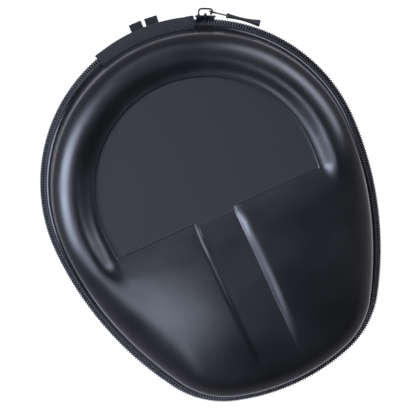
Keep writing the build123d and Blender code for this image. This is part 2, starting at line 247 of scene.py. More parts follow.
tail_end = tail_radius * math.cos(tail_turn)
tail_feet = np.concatenate([np.arange(0, 9, 1.2), np.linspace(9.2, 12.8, 9), np.linspace(13.8, tail_end, 19)])
tail_run = half_run - tail_radius * np.arcsin(tail_feet / tail_radius)
side_run = np.concatenate([
    np.linspace(0, arc_ends[0], 97), np.linspace(arc_ends[0], arc_ends[1], 71)[1:],
    np.linspace(arc_ends[1], arc_ends[2], 29)[1:], tail_run[::-1][1:],
])
case_run = np.concatenate([side_run, (2 * half_run - side_run[::-1])[1:]])
shell_spokes = Spokes(case_run)
spine_turns = (-15.9, 20.8)


def under_spine(run):
    """1 where a spoke is under the spine, 0 away from it, eased over 2 mm."""
    turn = np.degrees(np.where(run > half_run, run - 2 * half_run, run) / wide_radius)
    inside = np.minimum(turn - spine_turns[0], spine_turns[1] - turn)
    return soft_ramp((inside + 1.2) / 1.2, 0.5)


def half_surface(name, depth, foot):
    """One moulded face of a half, from the rings of its foot up to the panel."""
    spokes, count = shell_spokes, len(case_run)
    lean = math.tan(draft)
    round_ = shoulder_at(spokes.at(np.full((count, 1), 20.0))[1][:, 0]) - depth
    start = wall_foot + depth
    meet = np.full(count, start + 17.0)
    for _ in range(30):
        here, past = (spokes.at(meet[:, None] + step) for step in (0, 0.2))
        top = crown_height(here[0][:, 0], here[1][:, 0], depth)
        rise = (crown_height(past[0][:, 0], past[1][:, 0], depth) - top) / 0.2
        norm = np.hypot(1, rise)
        centre_i, centre_z = meet + round_ * rise / norm, top - round_ / norm
        gap = (centre_i - start - centre_z * lean) * math.cos(draft)
        meet = meet + (round_ - gap) * 0.7
    wall_i, wall_z = centre_i - round_ * math.cos(draft), centre_z + round_ * math.sin(draft)
    insets, heights = [], []
    for inset, height in foot:
        insets.append(inset(case_run) if callable(inset) else np.full(count, inset))
        heights.append(np.full(count, height))
    last_i, last_z = insets[-1], heights[-1]
    for share in (0.12, 0.4, 0.7):
        insets.append(last_i + (wall_i - last_i) * share)
        heights.append(last_z + (wall_z - last_z) * share)
    first = np.full(count, math.pi - draft)
    final = np.arctan2(1 / norm, -rise / norm)
    for share in np.linspace(0, 1, 15):
        angle = first + (final - first) * share
        insets.append(centre_i + round_ * np.cos(angle))
        heights.append(centre_z + round_ * np.sin(angle))
    fixed = len(insets)
    rim = panel_rim - depth
    rim = rim + 7 * soft_ramp((panel_edge - 4 - spokes.at(np.full((count, 1), rim))[1][:, 0]) / 30, 0.5)
    for share in np.linspace(0, 1, 13)[1:]:
        insets.append(meet + (rim - 0.45 - meet) * share)
    insets += [rim - 0.2] + [rim + panel_lip * share for share in (0, 0.2, 0.4, 0.6, 0.8, 1)]
    if depth:
        insets.append(rim + depth + panel_lip)
    insets = np.stack(insets, 1)
    x, y = spokes.at(insets)
    z = top_height(x, y, depth)
    z[:, :fixed] = np.stack(heights, 1) - sunk(x, y, depth)[:, :fixed]
    ring = wrapped(name, np.stack([x, y, z + parting], 2))
    edge = np.stack([x[:, -1], y[:, -1]], 1)
    rows = len(side_run)
    right, left = edge[:rows], edge[::-1][:rows]
    shares = np.linspace(0, 1, 57)
    plan = left[:, None] + (right - left)[:, None] * shares[None, :, None]
    middle = wrapped(name + "_middle", np.concatenate([plan, np.zeros(plan.shape[:2] + (1,))], 2))
    editing()
    bpy.ops.mesh.remove_doubles(threshold=2e-6)
    below = panel_edge - depth
    lip_cuts = [below + panel_lip * share for share in (1, 0.8, 0.6, 0.4, 0.2, 0)]
    lobe_cuts = [below - past for past in (0.25, 0.9, 1.8, 3.2, 5, 7, 9.5, 12, 15, 18.5, 22)]
    for cut in lip_cuts + lobe_cuts:
        bpy.ops.mesh.select_all(action="SELECT")
        bpy.ops.mesh.bisect(plane_co=(0, cut * MM, 0), plane_no=(0, 1, 0))
    bpy.ops.mesh.select_mode(type="FACE")
    for cut in (-0.9, -0.5, 0, 0.5, 1.1, 1.9, 2.8, 3.8, 5.0, 6.2):
        for side in (-1, 1):
            bpy.ops.mesh.select_all(action="DESELECT")
            grid = bmesh.from_edit_mesh(middle.data)
            for face in grid.faces:
                face.select_set(face.calc_center_median().y < (below + 2.5) * MM)
            bmesh.update_edit_mesh(middle.data)
            place = channel_x + side * (channel_half + depth + cut)
            bpy.ops.mesh.bisect(plane_co=(place * MM, 0, 0), plane_no=(1, 0, 0))
    edited()
    co = places_of(middle)
    near = np.clip(1 - ((co[:, 1] / MM - below) / 22) ** 2, 0, 1) ** 2
    co[:, 1] += (edge_line(co[:, 0] / MM) - panel_edge) * MM * near
    co[:, 2] = (top_height(co[:, 0] / MM, co[:, 1] / MM, depth) + parting) * MM
    placed(middle, co)
    return joined(name, ring, middle)


def brim(out):
    """An inset of the shell's brim over the zip's groove, which is left out under the spine."""
    return lambda run: out + (6.75 - out) * under_spine(run)


lean = math.tan(draft)
inner_foot = wall_foot + board
shell_foot = [
    (inner_foot + 0.4 * lean, 0.4), (6.5, 0.4), (4.4, 0.4), (4.1, 0.7), (4.1, 3.9), (4.3, 4.25),
    (5.5, 5.85), (6.0, 6.3), (6.3, 6.75), (6.2, 7.12), (brim(5.3), 7.25), (brim(4.98), 7.45),
    (brim(4.95), 7.7), (brim(5.2), 7.92), (brim(5.6), 8.03), (brim(5.95), 8.19), (brim(6.26), 8.41),
    (brim(6.54), 8.69), (6.76, 9.0), (6.92, 9.35), (7.03, 9.8),
]
outer = half_surface("outer_face", 0.0, shell_foot)
inner = half_surface("inner_face", board, [(inner_foot + 0.4 * lean, 0.4), (inner_foot + 7 * lean, 7.0)])
lid_moulding = closed(joined("lid_moulding", outer, inner))


def in_panel(centre):
    """True for a place on the floor of the D-shaped panel."""
    x, y, z = abs(centre[0]) / MM, centre[1] / MM, abs(centre[2] / MM - parting)
    radius = wide_radius if y > wide_y else flank_radius
    ring = math.hypot(x - wide_radius + radius, y - wide_y) - radius
    return y > edge_line(centre[0] / MM) and ring < -panel_rim - 0.1 and -0.1 < z - panel_floor < 0.4


def node(tree, kind, **inputs):
    """A shader node with its sockets set by name, or linked where a socket is given."""
    made = tree.nodes.new("ShaderNode" + kind)
    for key, value in inputs.items():
        key = key.replace("_", " ")
        if key in made.inputs:
            socket = made.inputs[key]
            if isinstance(value, bpy.types.NodeSocket):
                tree.links.new(value, socket)
            else:
                socket.default_value = value
        else:
            setattr(made, key.replace(" ", "_"), value)
    return made


def finish_of(name, **sockets):
    """A material with its Principled shader's constant sockets set, its node tree and that shader."""
    material = bpy.data.materials.new(name)
    material.use_nodes = True
    tree = material.node_tree
    shader = tree.nodes["Principled BSDF"]
    for key, value in sockets.items():
        shader.inputs[key.replace("_", " ")].default_value = value
    return material, tree, shader


def ramp_of(tree, factor, *stops):
    """A colour ramp over factor, from stops of place and colour."""
    made = node(tree, "ValToRGB", Fac=factor)
    while len(made.color_ramp.elements) < len(stops):
        made.color_ramp.elements.new(0.5)
    for element, (place, colour) in zip(made.color_ramp.elements, stops):
        element.position = place
        element.color = (*colour, 1) if isinstance(colour, tuple) else (colour, colour, colour, 1)
    return made.outputs["Color"]


def coloured(tree, shader, pattern, colours, roughness=None):
    """Ties a shader's colour, and its roughness where that is given, to a pattern by ramps."""
    tree.links.new(ramp_of(tree, pattern, *colours), shader.inputs["Base Color"])
    if roughness:
        tree.links.new(ramp_of(tree, pattern, *roughness), shader.inputs["Roughness"])


def noise_of(tree, scale, **settings):
    """A noise pattern through the piece, in its own space."""
    place = node(tree, "TexCoord").outputs["Object"]
    return node(tree, "TexNoise", Vector=place, Scale=scale, **settings).outputs["Fac"]


def combined(tree, operation, first, second):
    """Two values, or a value and a number, put together by one operation."""
    made = node(tree, "Math", operation=operation)
    for socket, value in zip(made.inputs, (first, second)):
        if isinstance(value, bpy.types.NodeSocket):
            tree.links.new(value, socket)
        else:
            socket.default_value = value
    return made.outputs[0]


def bumped(tree, shader, height, strength, distance):
    """Bumps a shader's normal by a height."""
    bump = node(tree, "Bump", Strength=strength, Distance=distance, Height=height)
    tree.links.new(bump.outputs["Normal"], shader.inputs["Normal"])


def grain_of(tree, shader, scale, strength, distance):
    """Fine pebbled grain in a shader's normal, and the haze in that grain."""
    place = node(tree, "TexCoord").outputs["Object"]
    cells = node(tree, "TexVoronoi", Vector=place, Scale=scale, feature="SMOOTH_F1", Smoothness=0.6)
    haze = noise_of(tree, scale * 0.23, Detail=4.0)
    bumped(tree, shader, combined(tree, "ADD", cells.outputs["Distance"], haze), strength, distance)
    return haze


# The leather-look face is smoother on the walls, where it is drawn thin, and dull in the seam.
leather, tree, shader = finish_of("leather_look_PU", IOR=1.5)
grain_of(tree, shader, 1500.0, 0.16, 0.0002)
wear = noise_of(tree, 34.0, Detail=5.0, Roughness=0.6)
coloured(tree, shader, wear, ((0.3, (0.0035, 0.0035, 0.0036)), (0.75, (0.0055, 0.0055, 0.0056))))
level = node(tree, "SeparateXYZ", Vector=node(tree, "TexCoord").outputs["Object"])
height = combined(tree, "ABSOLUTE", combined(tree, "SUBTRACT", level.outputs["Z"], parting * MM), 0.0)
shine = node(tree, "MapRange", Value=height, From_Min=0.0066, From_Max=0.0098, To_Min=0.06, To_Max=0.5)
tree.links.new(shine.outputs["Result"], shader.inputs["Specular IOR Level"])
drawn = node(tree, "MapRange", Value=height, From_Min=0.030, From_Max=0.041, To_Min=0.5, To_Max=1.0)
worn = ramp_of(tree, wear, (0.35, 0.33), (0.7, 0.41))
tree.links.new(combined(tree, "MULTIPLY", worn, drawn.outputs["Result"]), shader.inputs["Roughness"])

panel_cloth, tree, shader = finish_of(
    "panel_fabric", Specular_IOR_Level=0.35, IOR=1.45, Sheen_Weight=0.15, Sheen_Roughness=0.5
)
haze = grain_of(tree, shader, 2200.0, 0.2, 0.0002)
coloured(
    tree, shader, haze, ((0.3, (0.005, 0.0048, 0.005)), (0.7, (0.0068, 0.0066, 0.0068))), ((0.3, 0.62), (0.7, 0.72))
)

lid_moulding.data.materials.append(leather)
lid_moulding.data.materials.append(panel_cloth)
for face in lid_moulding.data.polygons:
    if in_panel(face.center):
        face.material_index = 1


def mirrored(piece, name):
    """A copy of a lid piece turned into the lower half's, about the parting plane."""
    lower = piece.copy()
    lower.data = piece.data.copy()
    lower.name = lower.data.name = name
    bpy.context.collection.objects.link(lower)
    lower.data.transform(Matrix.Translation((0, 0, 2 * parting * MM)) @ Matrix.Diagonal((1, 1, -1, 1)))
    lower.data.flip_normals()
    return lower


base_moulding = mirrored(lid_moulding, "base_moulding")
for piece, half in ((lid_moulding, "lid"), (base_moulding, "base")):
    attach(piece, half)
    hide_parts(half + "_shell")

# ---- Fleece linings ------------------------------------------------------------------------------
# Brushed polyester fleece, laminated to the board before it is pressed, so it follows every form of
# the shell from inside. It is 0.6 mm thick.
fleece, tree, shader = finish_of("brushed_fleece", Specular_IOR_Level=0.2, Sheen_Weight=0.6, Sheen_Roughness=0.45)
nap = noise_of(tree, 900.0, Detail=6.0, Roughness=0.75)
brushed = noise_of(tree, 45.0, Detail=4.0, Distortion=1.2)
coloured(tree, shader, brushed, ((0.3, (0.018, 0.019, 0.022)), (0.72, (0.034, 0.035, 0.04))))
tree.links.new(ramp_of(tree, nap, (0.3, 0.85), (0.7, 1.0)), shader.inputs["Roughness"])
bumped(tree, shader, nap, 0.6, 0.0003)

fleece_out, fleece_in = board + 0.05, board + 0.65
lining_rim = (wall_foot + fleece_in + 0.4 * lean, 0.4)
lining_foot = wall_foot + fleece_out
lining_outer = half_surface(
    "lining_outer", fleece_out, [lining_rim, (lining_foot + 0.4 * lean, 0.4), (lining_foot + 7 * lean, 7.0)]
)
lining_inner = half_surface("lining_inner", fleece_in, [lining_rim, (wall_foot + fleece_in + 7 * lean, 7.0)])
lid_fleece = closed(joined("lid_fleece", lining_outer, lining_inner), 50)
lid_fleece.data.materials.append(fleece)
base_fleece = mirrored(lid_fleece, "base_fleece")
for piece, half in ((lid_fleece, "lid"), (base_fleece, "base")):
    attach(piece, half)
    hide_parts(half + "_lining")


# ---- Bindings ------------------------------------------------------------------------------------
# Woven polyester tape, folded over its own edge and sewn round the inside of each rim, so that it
# hides the raw edge of the fleece. A row of lockstitch runs near its top.
def woven(name, across, up, thread, dark, light, turn=0.0, strength=0.7, depth=0.00025, sheen=0.25):
    """A plain weave on a piece's own UV map of across by up millimetres: dark between threads, light on them."""
    material, tree, shader = finish_of(name, Specular_IOR_Level=0.3, Sheen_Weight=sheen, Sheen_Roughness=0.5)
    flat = node(tree, "TexCoord").outputs["UV"]
    size = node(tree, "Mapping", Vector=flat, Scale=(across / thread, up / thread, 1.0))
    turned = node(tree, "Mapping", Vector=size.outputs["Vector"], Rotation=(0.0, 0.0, math.radians(turn)))
    vector = turned.outputs["Vector"]
    wave = dict(Vector=vector, Scale=math.pi / 10, Distortion=0.4, Detail=1.0)
    warp, weft = (node(tree, "TexWave", bands_direction=way, **wave).outputs["Fac"] for way in "XY")
    over = node(tree, "TexChecker", Vector=vector, Scale=0.5, Color1=(1, 1, 1, 1), Color2=(0, 0, 0, 1))
    pattern = node(tree, "Mix", Factor=over.outputs["Fac"], A=warp, B=weft).outputs[0]
    bumped(tree, shader, pattern, strength, depth)
    coloured(tree, shader, pattern, ((0.15, dark), (0.85, light)), ((0.2, 0.9), (0.9, 0.68)))
    return material


def band(name, run, profile):
    """A strip with a closed cross-section of insets and heights, along a run of the zip line."""
    spokes = Spokes(run)
    ring = profile(np.asarray(run, float)) if callable(profile) else np.array(profile, float)
    ring = np.broadcast_to(ring, (len(run),) + ring.shape[-2:])
    ring = np.concatenate([ring, ring[:, :1]], 1)
    x, y = spokes.at(ring[:, :, 0])
    return wrapped(name, np.stack([x, y, ring[:, :, 1] + parting], 2))


def capped(piece, smooth=50):
    """Closes the two ends of a strip and its seams."""
    joined(piece.name, piece)
    editing()
    bpy.ops.mesh.remove_doubles(threshold=2e-6)
    bpy.ops.mesh.select_all(action="DESELECT")
    bpy.ops.mesh.select_mode(type="EDGE")
    bpy.ops.mesh.select_non_manifold()
    bpy.ops.mesh.fill_holes(sides=0)
    edited()
    return closed(piece, smooth)


def scattered(name, unit, run, inset, height, flip=1.0):
    """Copies of a small unit along the zip line, each set square to it: unit's X runs along, its Y out, its Z up."""
    spokes = Spokes(run)
    x, y = spokes.at(np.full((len(run), 1), inset))
    out = spokes.out
    copies = []
    for i in range(len(run)):
        turn = Matrix((
            (out[i, 1], out[i, 0], 0, x[i, 0] * MM), (-out[i, 0], out[i, 1], 0, y[i, 0] * MM),
            (0, 0, flip, (parting + flip * height) * MM), (0, 0, 0, 1),
        ))
        copy = unit.copy()
        copy.data = unit.data.copy()
        copy.data.transform(turn @ Matrix.Scale(MM, 4))
        if flip < 0:
            copy.data.flip_normals()
        bpy.context.collection.objects.link(copy)
        copies.append(copy)
    return joined(name, *copies)


def drop(*pieces):
    """Removes the pattern pieces that copies were made from."""
    for piece in pieces:
        bpy.data.objects.remove(piece)


full_run = np.linspace(0, 2 * half_run, 421)
binding_profile = [
    (10.85 + 0.4 * lean, 0.4), (10.82 + 2.0 * lean, 2.0), (10.82 + 6.0 * lean, 6.0), (10.83 + 8.7 * lean, 8.7),
    (10.98 + 9.0 * lean, 9.0), (11.3 + 9.0 * lean, 9.0), (11.46 + 8.7 * lean, 8.7), (11.5 + 7.9 * lean, 7.9),
    (11.36 + 7.2 * lean, 7.2), (11.5 + 6.5 * lean, 6.5), (11.5 + 2.4 * lean, 2.4), (11.42 + 0.7 * lean, 0.7),
    (11.2 + 0.4 * lean, 0.4),
]
binding_cloth = woven("binding_tape", 2 * half_run, 20.0, 0.55, (0.006, 0.006, 0.007), (0.024, 0.024, 0.027))
lid_edge = closed(band("lid_edge_binding", full_run, binding_profile), 60)
lid_edge.data.materials.append(binding_cloth)

thread, tree, shader = finish_of("polyester_thread", Specular_IOR_Level=0.4, Sheen_Weight=0.2)
twist = noise_of(tree, 2500.0, Detail=2.0)
coloured(tree, shader, twist, ((0.3, (0.008, 0.008, 0.01)), (0.7, (0.024, 0.024, 0.028))), ((0.3, 0.5), (0.7, 0.7)))

bpy.ops.mesh.primitive_uv_sphere_add(segments=8, ring_count=5, radius=1.0)
stitch = bpy.context.object
stitch.data.transform(Matrix.Rotation(math.pi / 2, 4, "Y"))
stitch.data.transform(Matrix.Diagonal((1.15, 0.19, 0.24, 1)))
bpy.ops.object.shade_smooth()
stitch.data.materials.append(thread)
binding_stitches = scattered("lid_binding_stitches", stitch, np.arange(0, 2 * half_run, 2.9), 11.46 + 7.2 * lean, 7.2)
base_edge = mirrored(lid_edge, "base_edge_binding")
base_binding_stitches = mirrored(binding_stitches, "base_binding_stitches")
for edge_piece, row, half in ((lid_edge, binding_stitches, "lid"), (base_edge, base_binding_stitches, "base")):
    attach(edge_piece, half)
    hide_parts(half + "_binding")
    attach(row, half)

# ---- Zip tapes -----------------------------------------------------------------------------------
# Knitted polyester tape on each side of the zip: it lies on the coil, climbs to the foot of the wall
# and is sewn to the flange there, in the groove under the shell's lip. The tape's top strip in that
# groove is coloured near-black as painted shade for the groove.
zip_start = math.radians(spine_turns[1] - 1.0) * wide_radius
zip_end = 2 * half_run + math.radians(spine_turns[0] + 1.0) * wide_radius
zip_run = np.linspace(zip_start, zip_end, 401)
tape_profile = [
    (3.3, 2.6), (3.08, 2.75), (3.05, 3.0), (3.2, 3.35), (3.45, 3.8), (3.7, 4.3), (3.95, 4.8), (4.2, 5.15),
    (4.5, 5.5), (4.85, 5.95), (5.3, 6.75), (5.55, 6.5), (5.2, 5.85), (4.8, 5.25), (4.4, 4.75), (4.1, 4.2),
    (3.85, 3.6), (3.7, 3.0), (3.6, 2.65),
]
zip_length, tape_girth = zip_end - zip_start, 13.5
tape_cloth = woven(
    "zip_tape", zip_length, tape_girth, 0.62, (0.004, 0.004, 0.0045), (0.02, 0.02, 0.021),
    turn=45.0, strength=1.0, depth=0.0004, sheen=0.06,
)
lid_tape = capped(band("lid_tape", zip_run, tape_profile), 60)
lid_tape.data.materials.append(tape_cloth)
# Near-black cloth for the tape's top strip under the shell's lip: painted shade in the groove.
groove_shade_cloth = woven(
    "groove_painted_shade", zip_length, tape_girth, 0.5, (0.0015, 0.0015, 0.002), (0.006, 0.006, 0.007), strength=0.5, sheen=0.0
)
lid_tape.data.materials.append(groove_shade_cloth)
# Tape faces more than 4.7 mm above the parting plane take the painted groove shade.
for face in lid_tape.data.polygons:
    if face.center.z / MM - parting > 4.7:
        face.material_index = 1
seam = scattered("lid_tape_stitches", stitch, np.arange(zip_start + 2, zip_end - 2, 2.6), 4.15, 5.2)
base_tape = mirrored(lid_tape, "base_tape")
base_seam = mirrored(seam, "base_tape_stitches")
for tape, row, half in ((lid_tape, seam, "lid"), (base_tape, base_seam, "base")):
    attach(tape, half)
    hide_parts(half + "_zip_tape")
    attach(row, half)

# ---- Zip coils -----------------------------------------------------------------------------------
# A size 5 nylon coil: one filament wound into teeth round a cord, and sewn to the tape's edge. The
# two coils' teeth face each other across the parting plane.
pitch = 1.7
nylon, tree, shader = finish_of("zip_nylon", Specular_IOR_Level=0.5)
flow = noise_of(tree, 600.0, Detail=3.0)
coloured(tree, shader, flow, ((0.3, (0.05, 0.049, 0.05)), (0.7, (0.1, 0.098, 0.1))), ((0.3, 0.32), (0.7, 0.42)))
cord_black, tree, shader = finish_of("coil_cord", Specular_IOR_Level=0.15, Roughness=0.9)
fibre = noise_of(tree, 1500.0, Detail=3.0)
coloured(tree, shader, fibre, ((0.3, (0.003, 0.003, 0.004)), (0.7, (0.01, 0.01, 0.012))))



def block(size, place=(0, 0, 0)):
    """A plain block of a size, with its middle at a place."""
    bpy.ops.mesh.primitive_cube_add(size=1, location=place)
    bpy.context.object.scale = size
    bpy.ops.object.transform_apply(location=True, rotation=False, scale=True)
    return bpy.context.object


tooth = block((0.64, 3.3, 2.35))
editing()
bpy.ops.mesh.bevel(offset=0.24, segments=1, affect="EDGES")
edited()
smoothed(60)
tooth.data.materials.append(nylon)
teeth_run = np.arange(zip_start + 0.9, zip_end - 0.9, pitch)
core_profile = [
    (0.6, 0.4), (0.55, 1.0), (0.8, 1.5), (1.4, 1.75), (2.6, 1.8), (3.4, 1.75), (3.45, 0.6), (2.6, 0.3), (1.4, 0.3),
]
for half, flip in (("lid", 1.0), ("base", -1.0)):
    teeth = scattered(half + "_coil_teeth", tooth, teeth_run, 1.65, 1.17, flip)
    core = capped(band(half + "_coil_cord", zip_run, [(inset, flip * height) for inset, height in core_profile]), 60)
    core.data.materials.append(cord_black)
    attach(teeth, half)
    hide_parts(half + "_zip_coil")
    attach(core, half)
drop(tooth)

# The stops are short nylon blocks, melted over the coil's ends under the spine.
stop_nylon, tree, shader = finish_of("stop_nylon", Base_Color=(0.02, 0.02, 0.022, 1), Roughness=0.45)
grain_of(tree, shader, 900.0, 0.3, 0.0002)
for half in ("lid", "base"):
    stops = frame["nodes"][half + "_zip_stops"]
    stops.data.materials.clear()
    stops.data.materials.append(stop_nylon)

# ---- Spine and hinge tape ------------------------------------------------------------------------
# One strip of woven polyester, folded along the parting plane and sewn to both shells: it is the
# case's hinge. Its ends are turned under over the zip's ends. A narrow tape backs it inside.
spine_cloth = woven(
    "spine_fabric", 66.0, 62.0, 0.8, (0.002, 0.0022, 0.0028), (0.0125, 0.013, 0.0155),
    strength=1.0, depth=0.0004, sheen=0.05,
)
spine_run = np.linspace(math.radians(spine_turns[0]), math.radians(spine_turns[1]), 121) * wide_radius


def spine_profile(run):
    """The spine's cross-sections, thicker over the turned ends, with two pleats beside the slider."""
    from_start, from_end = run - run[0], run[-1] - run
    hem = 0.38 * (soft_ramp((3.6 - from_start) / 0.5, 0.5) + soft_ramp((5.4 - from_end) / 0.6, 0.5))
    pleats = 0.45 * (np.exp(-((from_end - 2.1) / 0.32) ** 2) + np.exp(-((from_end - 3.7) / 0.3) ** 2))
    bulge = 0.55 * np.exp(-((from_end - 1.2) / 1.6) ** 2)
    # how far out, how high, and how much of the hem, bulge and pleats it takes
    face = [
        (-6.86, 9.5, 0.15), (-5.6, 9.28, 0.75), (-3.6, 8.25, 1), (-1.6, 7.2, 1), (0.0, 6.35, 1),
        (0.75, 5.75, 1), (1.15, 5.0, 1), (1.3, 4.0, 1), (1.3, 2.0, 1), (1.3, 0.0, 1),
    ]
    back = [(-6.86, 8.55), (-5.4, 8.1), (-3.4, 6.95), (-1.4, 5.9), (-0.3, 5.1), (0.12, 4.3), (0.2, 2.0), (0.2, 0.0)]
    face = face + [(o, -h, g) for o, h, g in face[-2::-1]]
    back = back + [(o, -h) for o, h in back[-2::-1]]
    rings = []
    for o, h, g in face:
        grow = g * (hem + bulge * (abs(h) < 6) + pleats * (abs(h) > 4))
        tall = grow * np.sign(h) * (0.75 if abs(h) > 5.9 else 0.0)
        rings.append(np.stack([-(o + grow * (0.6 if abs(h) > 5.9 else 0.5)), h + tall], 1))
    for o, h in back[::-1]:
        rings.append(np.stack([np.full(len(run), -o), np.full(len(run), h)], 1))
    return np.stack(rings, 1)


spine = capped(band("spine", spine_run, spine_profile), 45)
spine.data.materials.append(spine_cloth)
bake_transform(spine)
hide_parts("spine_upper", "spine_lower")

tape_run = np.linspace(spine_run[0] + 3.4, spine_run[-1] - 3.4, 81)
tape_ring = [
    (0.06, 4.4), (-0.05, 4.5), (-0.1, 2.0), (-0.1, 0.0), (-0.1, -2.0), (-0.05, -4.5),
    (0.06, -4.4), (0.5, -4.4), (0.5, -2.0), (0.5, 0.0), (0.5, 2.0), (0.5, 4.4),
]
hinge_cloth = woven("hinge_tape", 60.0, 18.0, 0.5, (0.006, 0.006, 0.007), (0.024, 0.024, 0.027))
hinge_tape = capped(band("hinge_tape", tape_run, tape_ring), 60)
hinge_tape.data.materials.append(hinge_cloth)
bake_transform(hinge_tape)
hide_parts("hinge_tape_upper", "hinge_tape_lower")

# ---- Webbing tabs --------------------------------------------------------------------------------
# Two short strips of black polyester webbing, each folded in two and sewn to the spine by its open
# end, below the parting plane.
webbing = woven(
    "webbing", 14.0, 8.6, 0.85, (0.0022, 0.0022, 0.0025), (0.009, 0.009, 0.0095),
    strength=1.0, depth=0.0004, sheen=0.05,
)


def at_turn(turn, distance, height=0.0):
    """Place on the zip's round stretch: X runs clockwise along it, Y outwards, Z up, in millimetres."""
    out = Vector((math.sin(turn), math.cos(turn), 0))
    along = Vector((out.y, -out.x, 0))
    where = Vector((0, wide_y, parting + height)) + out * distance
    return Matrix.Scale(MM, 4) @ Matrix.Translation(where) @ Matrix((along, out, (0, 0, 1))).transposed().to_4x4()


def settled(piece, matrix):
    """Puts a piece made at the origin, in millimetres, in its place."""
    bpy.context.view_layer.update()
    piece.data.transform(matrix @ piece.matrix_world)
    piece.matrix_world = Matrix.Identity(4)
    piece.data.update()
    return piece


def applied(piece, kind, **values):
    """Adds a modifier and applies it."""
    joined(piece.name, piece)
    modifier = piece.modifiers.new(kind.lower(), kind)
    for key, value in values.items():
        setattr(modifier, key, value)
    bpy.ops.object.modifier_apply(modifier=modifier.name)
    return piece


tab_width, tab_path, leaf, fold_radius = 8.1, 9.4, 3.45, 0.795
tabs_turn, tab_step, tab_seat = math.radians(3.9), 4.95, 103.95
for side, name in ((-1, "webbing_tab_left"), (1, "webbing_tab_right")):
    bpy.ops.mesh.primitive_grid_add(x_subdivisions=12, y_subdivisions=30, size=1)
    tab = bpy.context.object
    tab.name = "folded_" + name
    co = places_of(tab)
    path = (co[:, 1] + 0.5) * tab_path
    turn = np.clip((path - leaf) / (tab_path - 2 * leaf), 0, 1) * math.pi
    flat = np.where(path > tab_path - leaf, tab_path - path, leaf + fold_radius * np.sin(turn))
    flat = np.where(path < leaf, path, flat)
    rise = fold_radius * np.cos(turn)
    pinch = 0.08 * np.cos(turn) * (flat < 1.2)
    placed(tab, np.stack([co[:, 0] * tab_width, flat, rise + pinch], 1))
    applied(tab, "SOLIDIFY", thickness=1.15, offset=0.0)
    applied(tab, "BEVEL", width=0.22, segments=3, limit_method="ANGLE", angle_limit=math.radians(50))
    settled(tab, at_turn(tabs_turn + side * tab_step / 103.8, tab_seat, -3.95))
    smoothed(60)
    tab.data.materials.append(webbing)
    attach(tab, "base")
    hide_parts(name)

# ---- Slider --------------------------------------------------------------------------------------
# Die-cast zinc with a black coat: a front plate with rolled lips, a back plate inside the case, a
# diamond neck between the coils, and a bridge of flat wire, open at one end, that the pull hangs in.
black_zinc, tree, shader = finish_of("black_coated_zinc", Metallic=1.0)
rubbed = noise_of(tree, 260.0, Detail=5.0, Roughness=0.65)
coloured(
    tree, shader, rubbed, ((0.45, (0.02, 0.021, 0.024)), (0.72, (0.08, 0.083, 0.09))), ((0.3, 0.24), (0.7, 0.4))
)
bumped(tree, shader, rubbed, 0.15, 0.0001)


def plate(name, length, thick, height, out, taper, corner, raised):
    """A plate square to the zip, with rounded corners, one end narrower, and a raised face."""
    piece = block((length, thick, height), (0, out, 0))
    piece.name = name
    for vertex in piece.data.vertices:
        if vertex.co.x > 0:
            vertex.co.z *= taper
    bpy.ops.object.mode_set(mode="EDIT")
    bpy.ops.mesh.select_mode(type="EDGE")
    bpy.ops.mesh.select_all(action="DESELECT")
    grid = bmesh.from_edit_mesh(piece.data)
    for edge in grid.edges:
        first, second = edge.verts[0].co, edge.verts[1].co
        edge.select_set(abs(first.y - second.y) > thick / 2)
    bmesh.update_edit_mesh(piece.data)
    bpy.ops.mesh.bevel(offset=corner, segments=6, affect="EDGES")
    if raised:
        bpy.ops.mesh.select_mode(type="FACE")
        bpy.ops.mesh.select_all(action="DESELECT")
        grid = bmesh.from_edit_mesh(piece.data)
        for face in grid.faces:
            face.select_set(face.normal.y > 0.9)
        bmesh.update_edit_mesh(piece.data)
        bpy.ops.mesh.inset(thickness=0.75, depth=0)
        bpy.ops.transform.translate(value=(0, raised, 0))
    edited()
    return applied(piece, "BEVEL", width=0.16, segments=2, limit_method="ANGLE", angle_limit=math.radians(40))


front_plate = plate("front_plate", 12.9, 0.85, 6.1, 1.2, 0.86, 1.7, 0.2)
back_plate = plate("back_plate", 12.9, 0.55, 3.95, -2.49, 0.9, 1.3, 0)
lips = [
    applied(block((11.2, 2.6, 0.42), (0, -0.2, height)), "BEVEL", width=0.15, segments=2) for height in (2.78, -2.78)
]
bpy.ops.mesh.primitive_cylinder_add(vertices=24, radius=1.3, depth=0.5, location=(0, 0, 0))
neck = bpy.context.object
neck.scale = (1.0, 0.5, 1.0)
bpy.ops.object.transform_apply(location=False, rotation=False, scale=True)
editing()
bpy.ops.transform.resize(value=(1.0, 6.2, 1.0))
bpy.ops.transform.translate(value=(0, -0.55, 0))
edited()
applied(neck, "BEVEL", width=0.1, segments=2, limit_method="ANGLE", angle_limit=math.radians(50))


def wire(name, points, thick, cyclic=False, resolution=10):
    """Round wire along a smooth line of points, as a mesh."""
    line = bpy.data.curves.new(name, "CURVE")
    line.dimensions = "3D"
    line.bevel_depth, line.bevel_resolution, line.resolution_u = thick / 2, 4, resolution
    line.use_fill_caps = True
    spline = line.splines.new("NURBS")
    spline.points.add(len(points) - 1)
    for point, place in zip(spline.points, points):
        point.co = (*place, 1)
    spline.order_u = 3
    spline.use_cyclic_u = cyclic
    spline.use_endpoint_u = not cyclic
    holder = bpy.data.objects.new(name, line)
    bpy.context.collection.objects.link(holder)
    joined(name, holder)
    bpy.ops.object.convert(target="MESH")
    return bpy.context.object


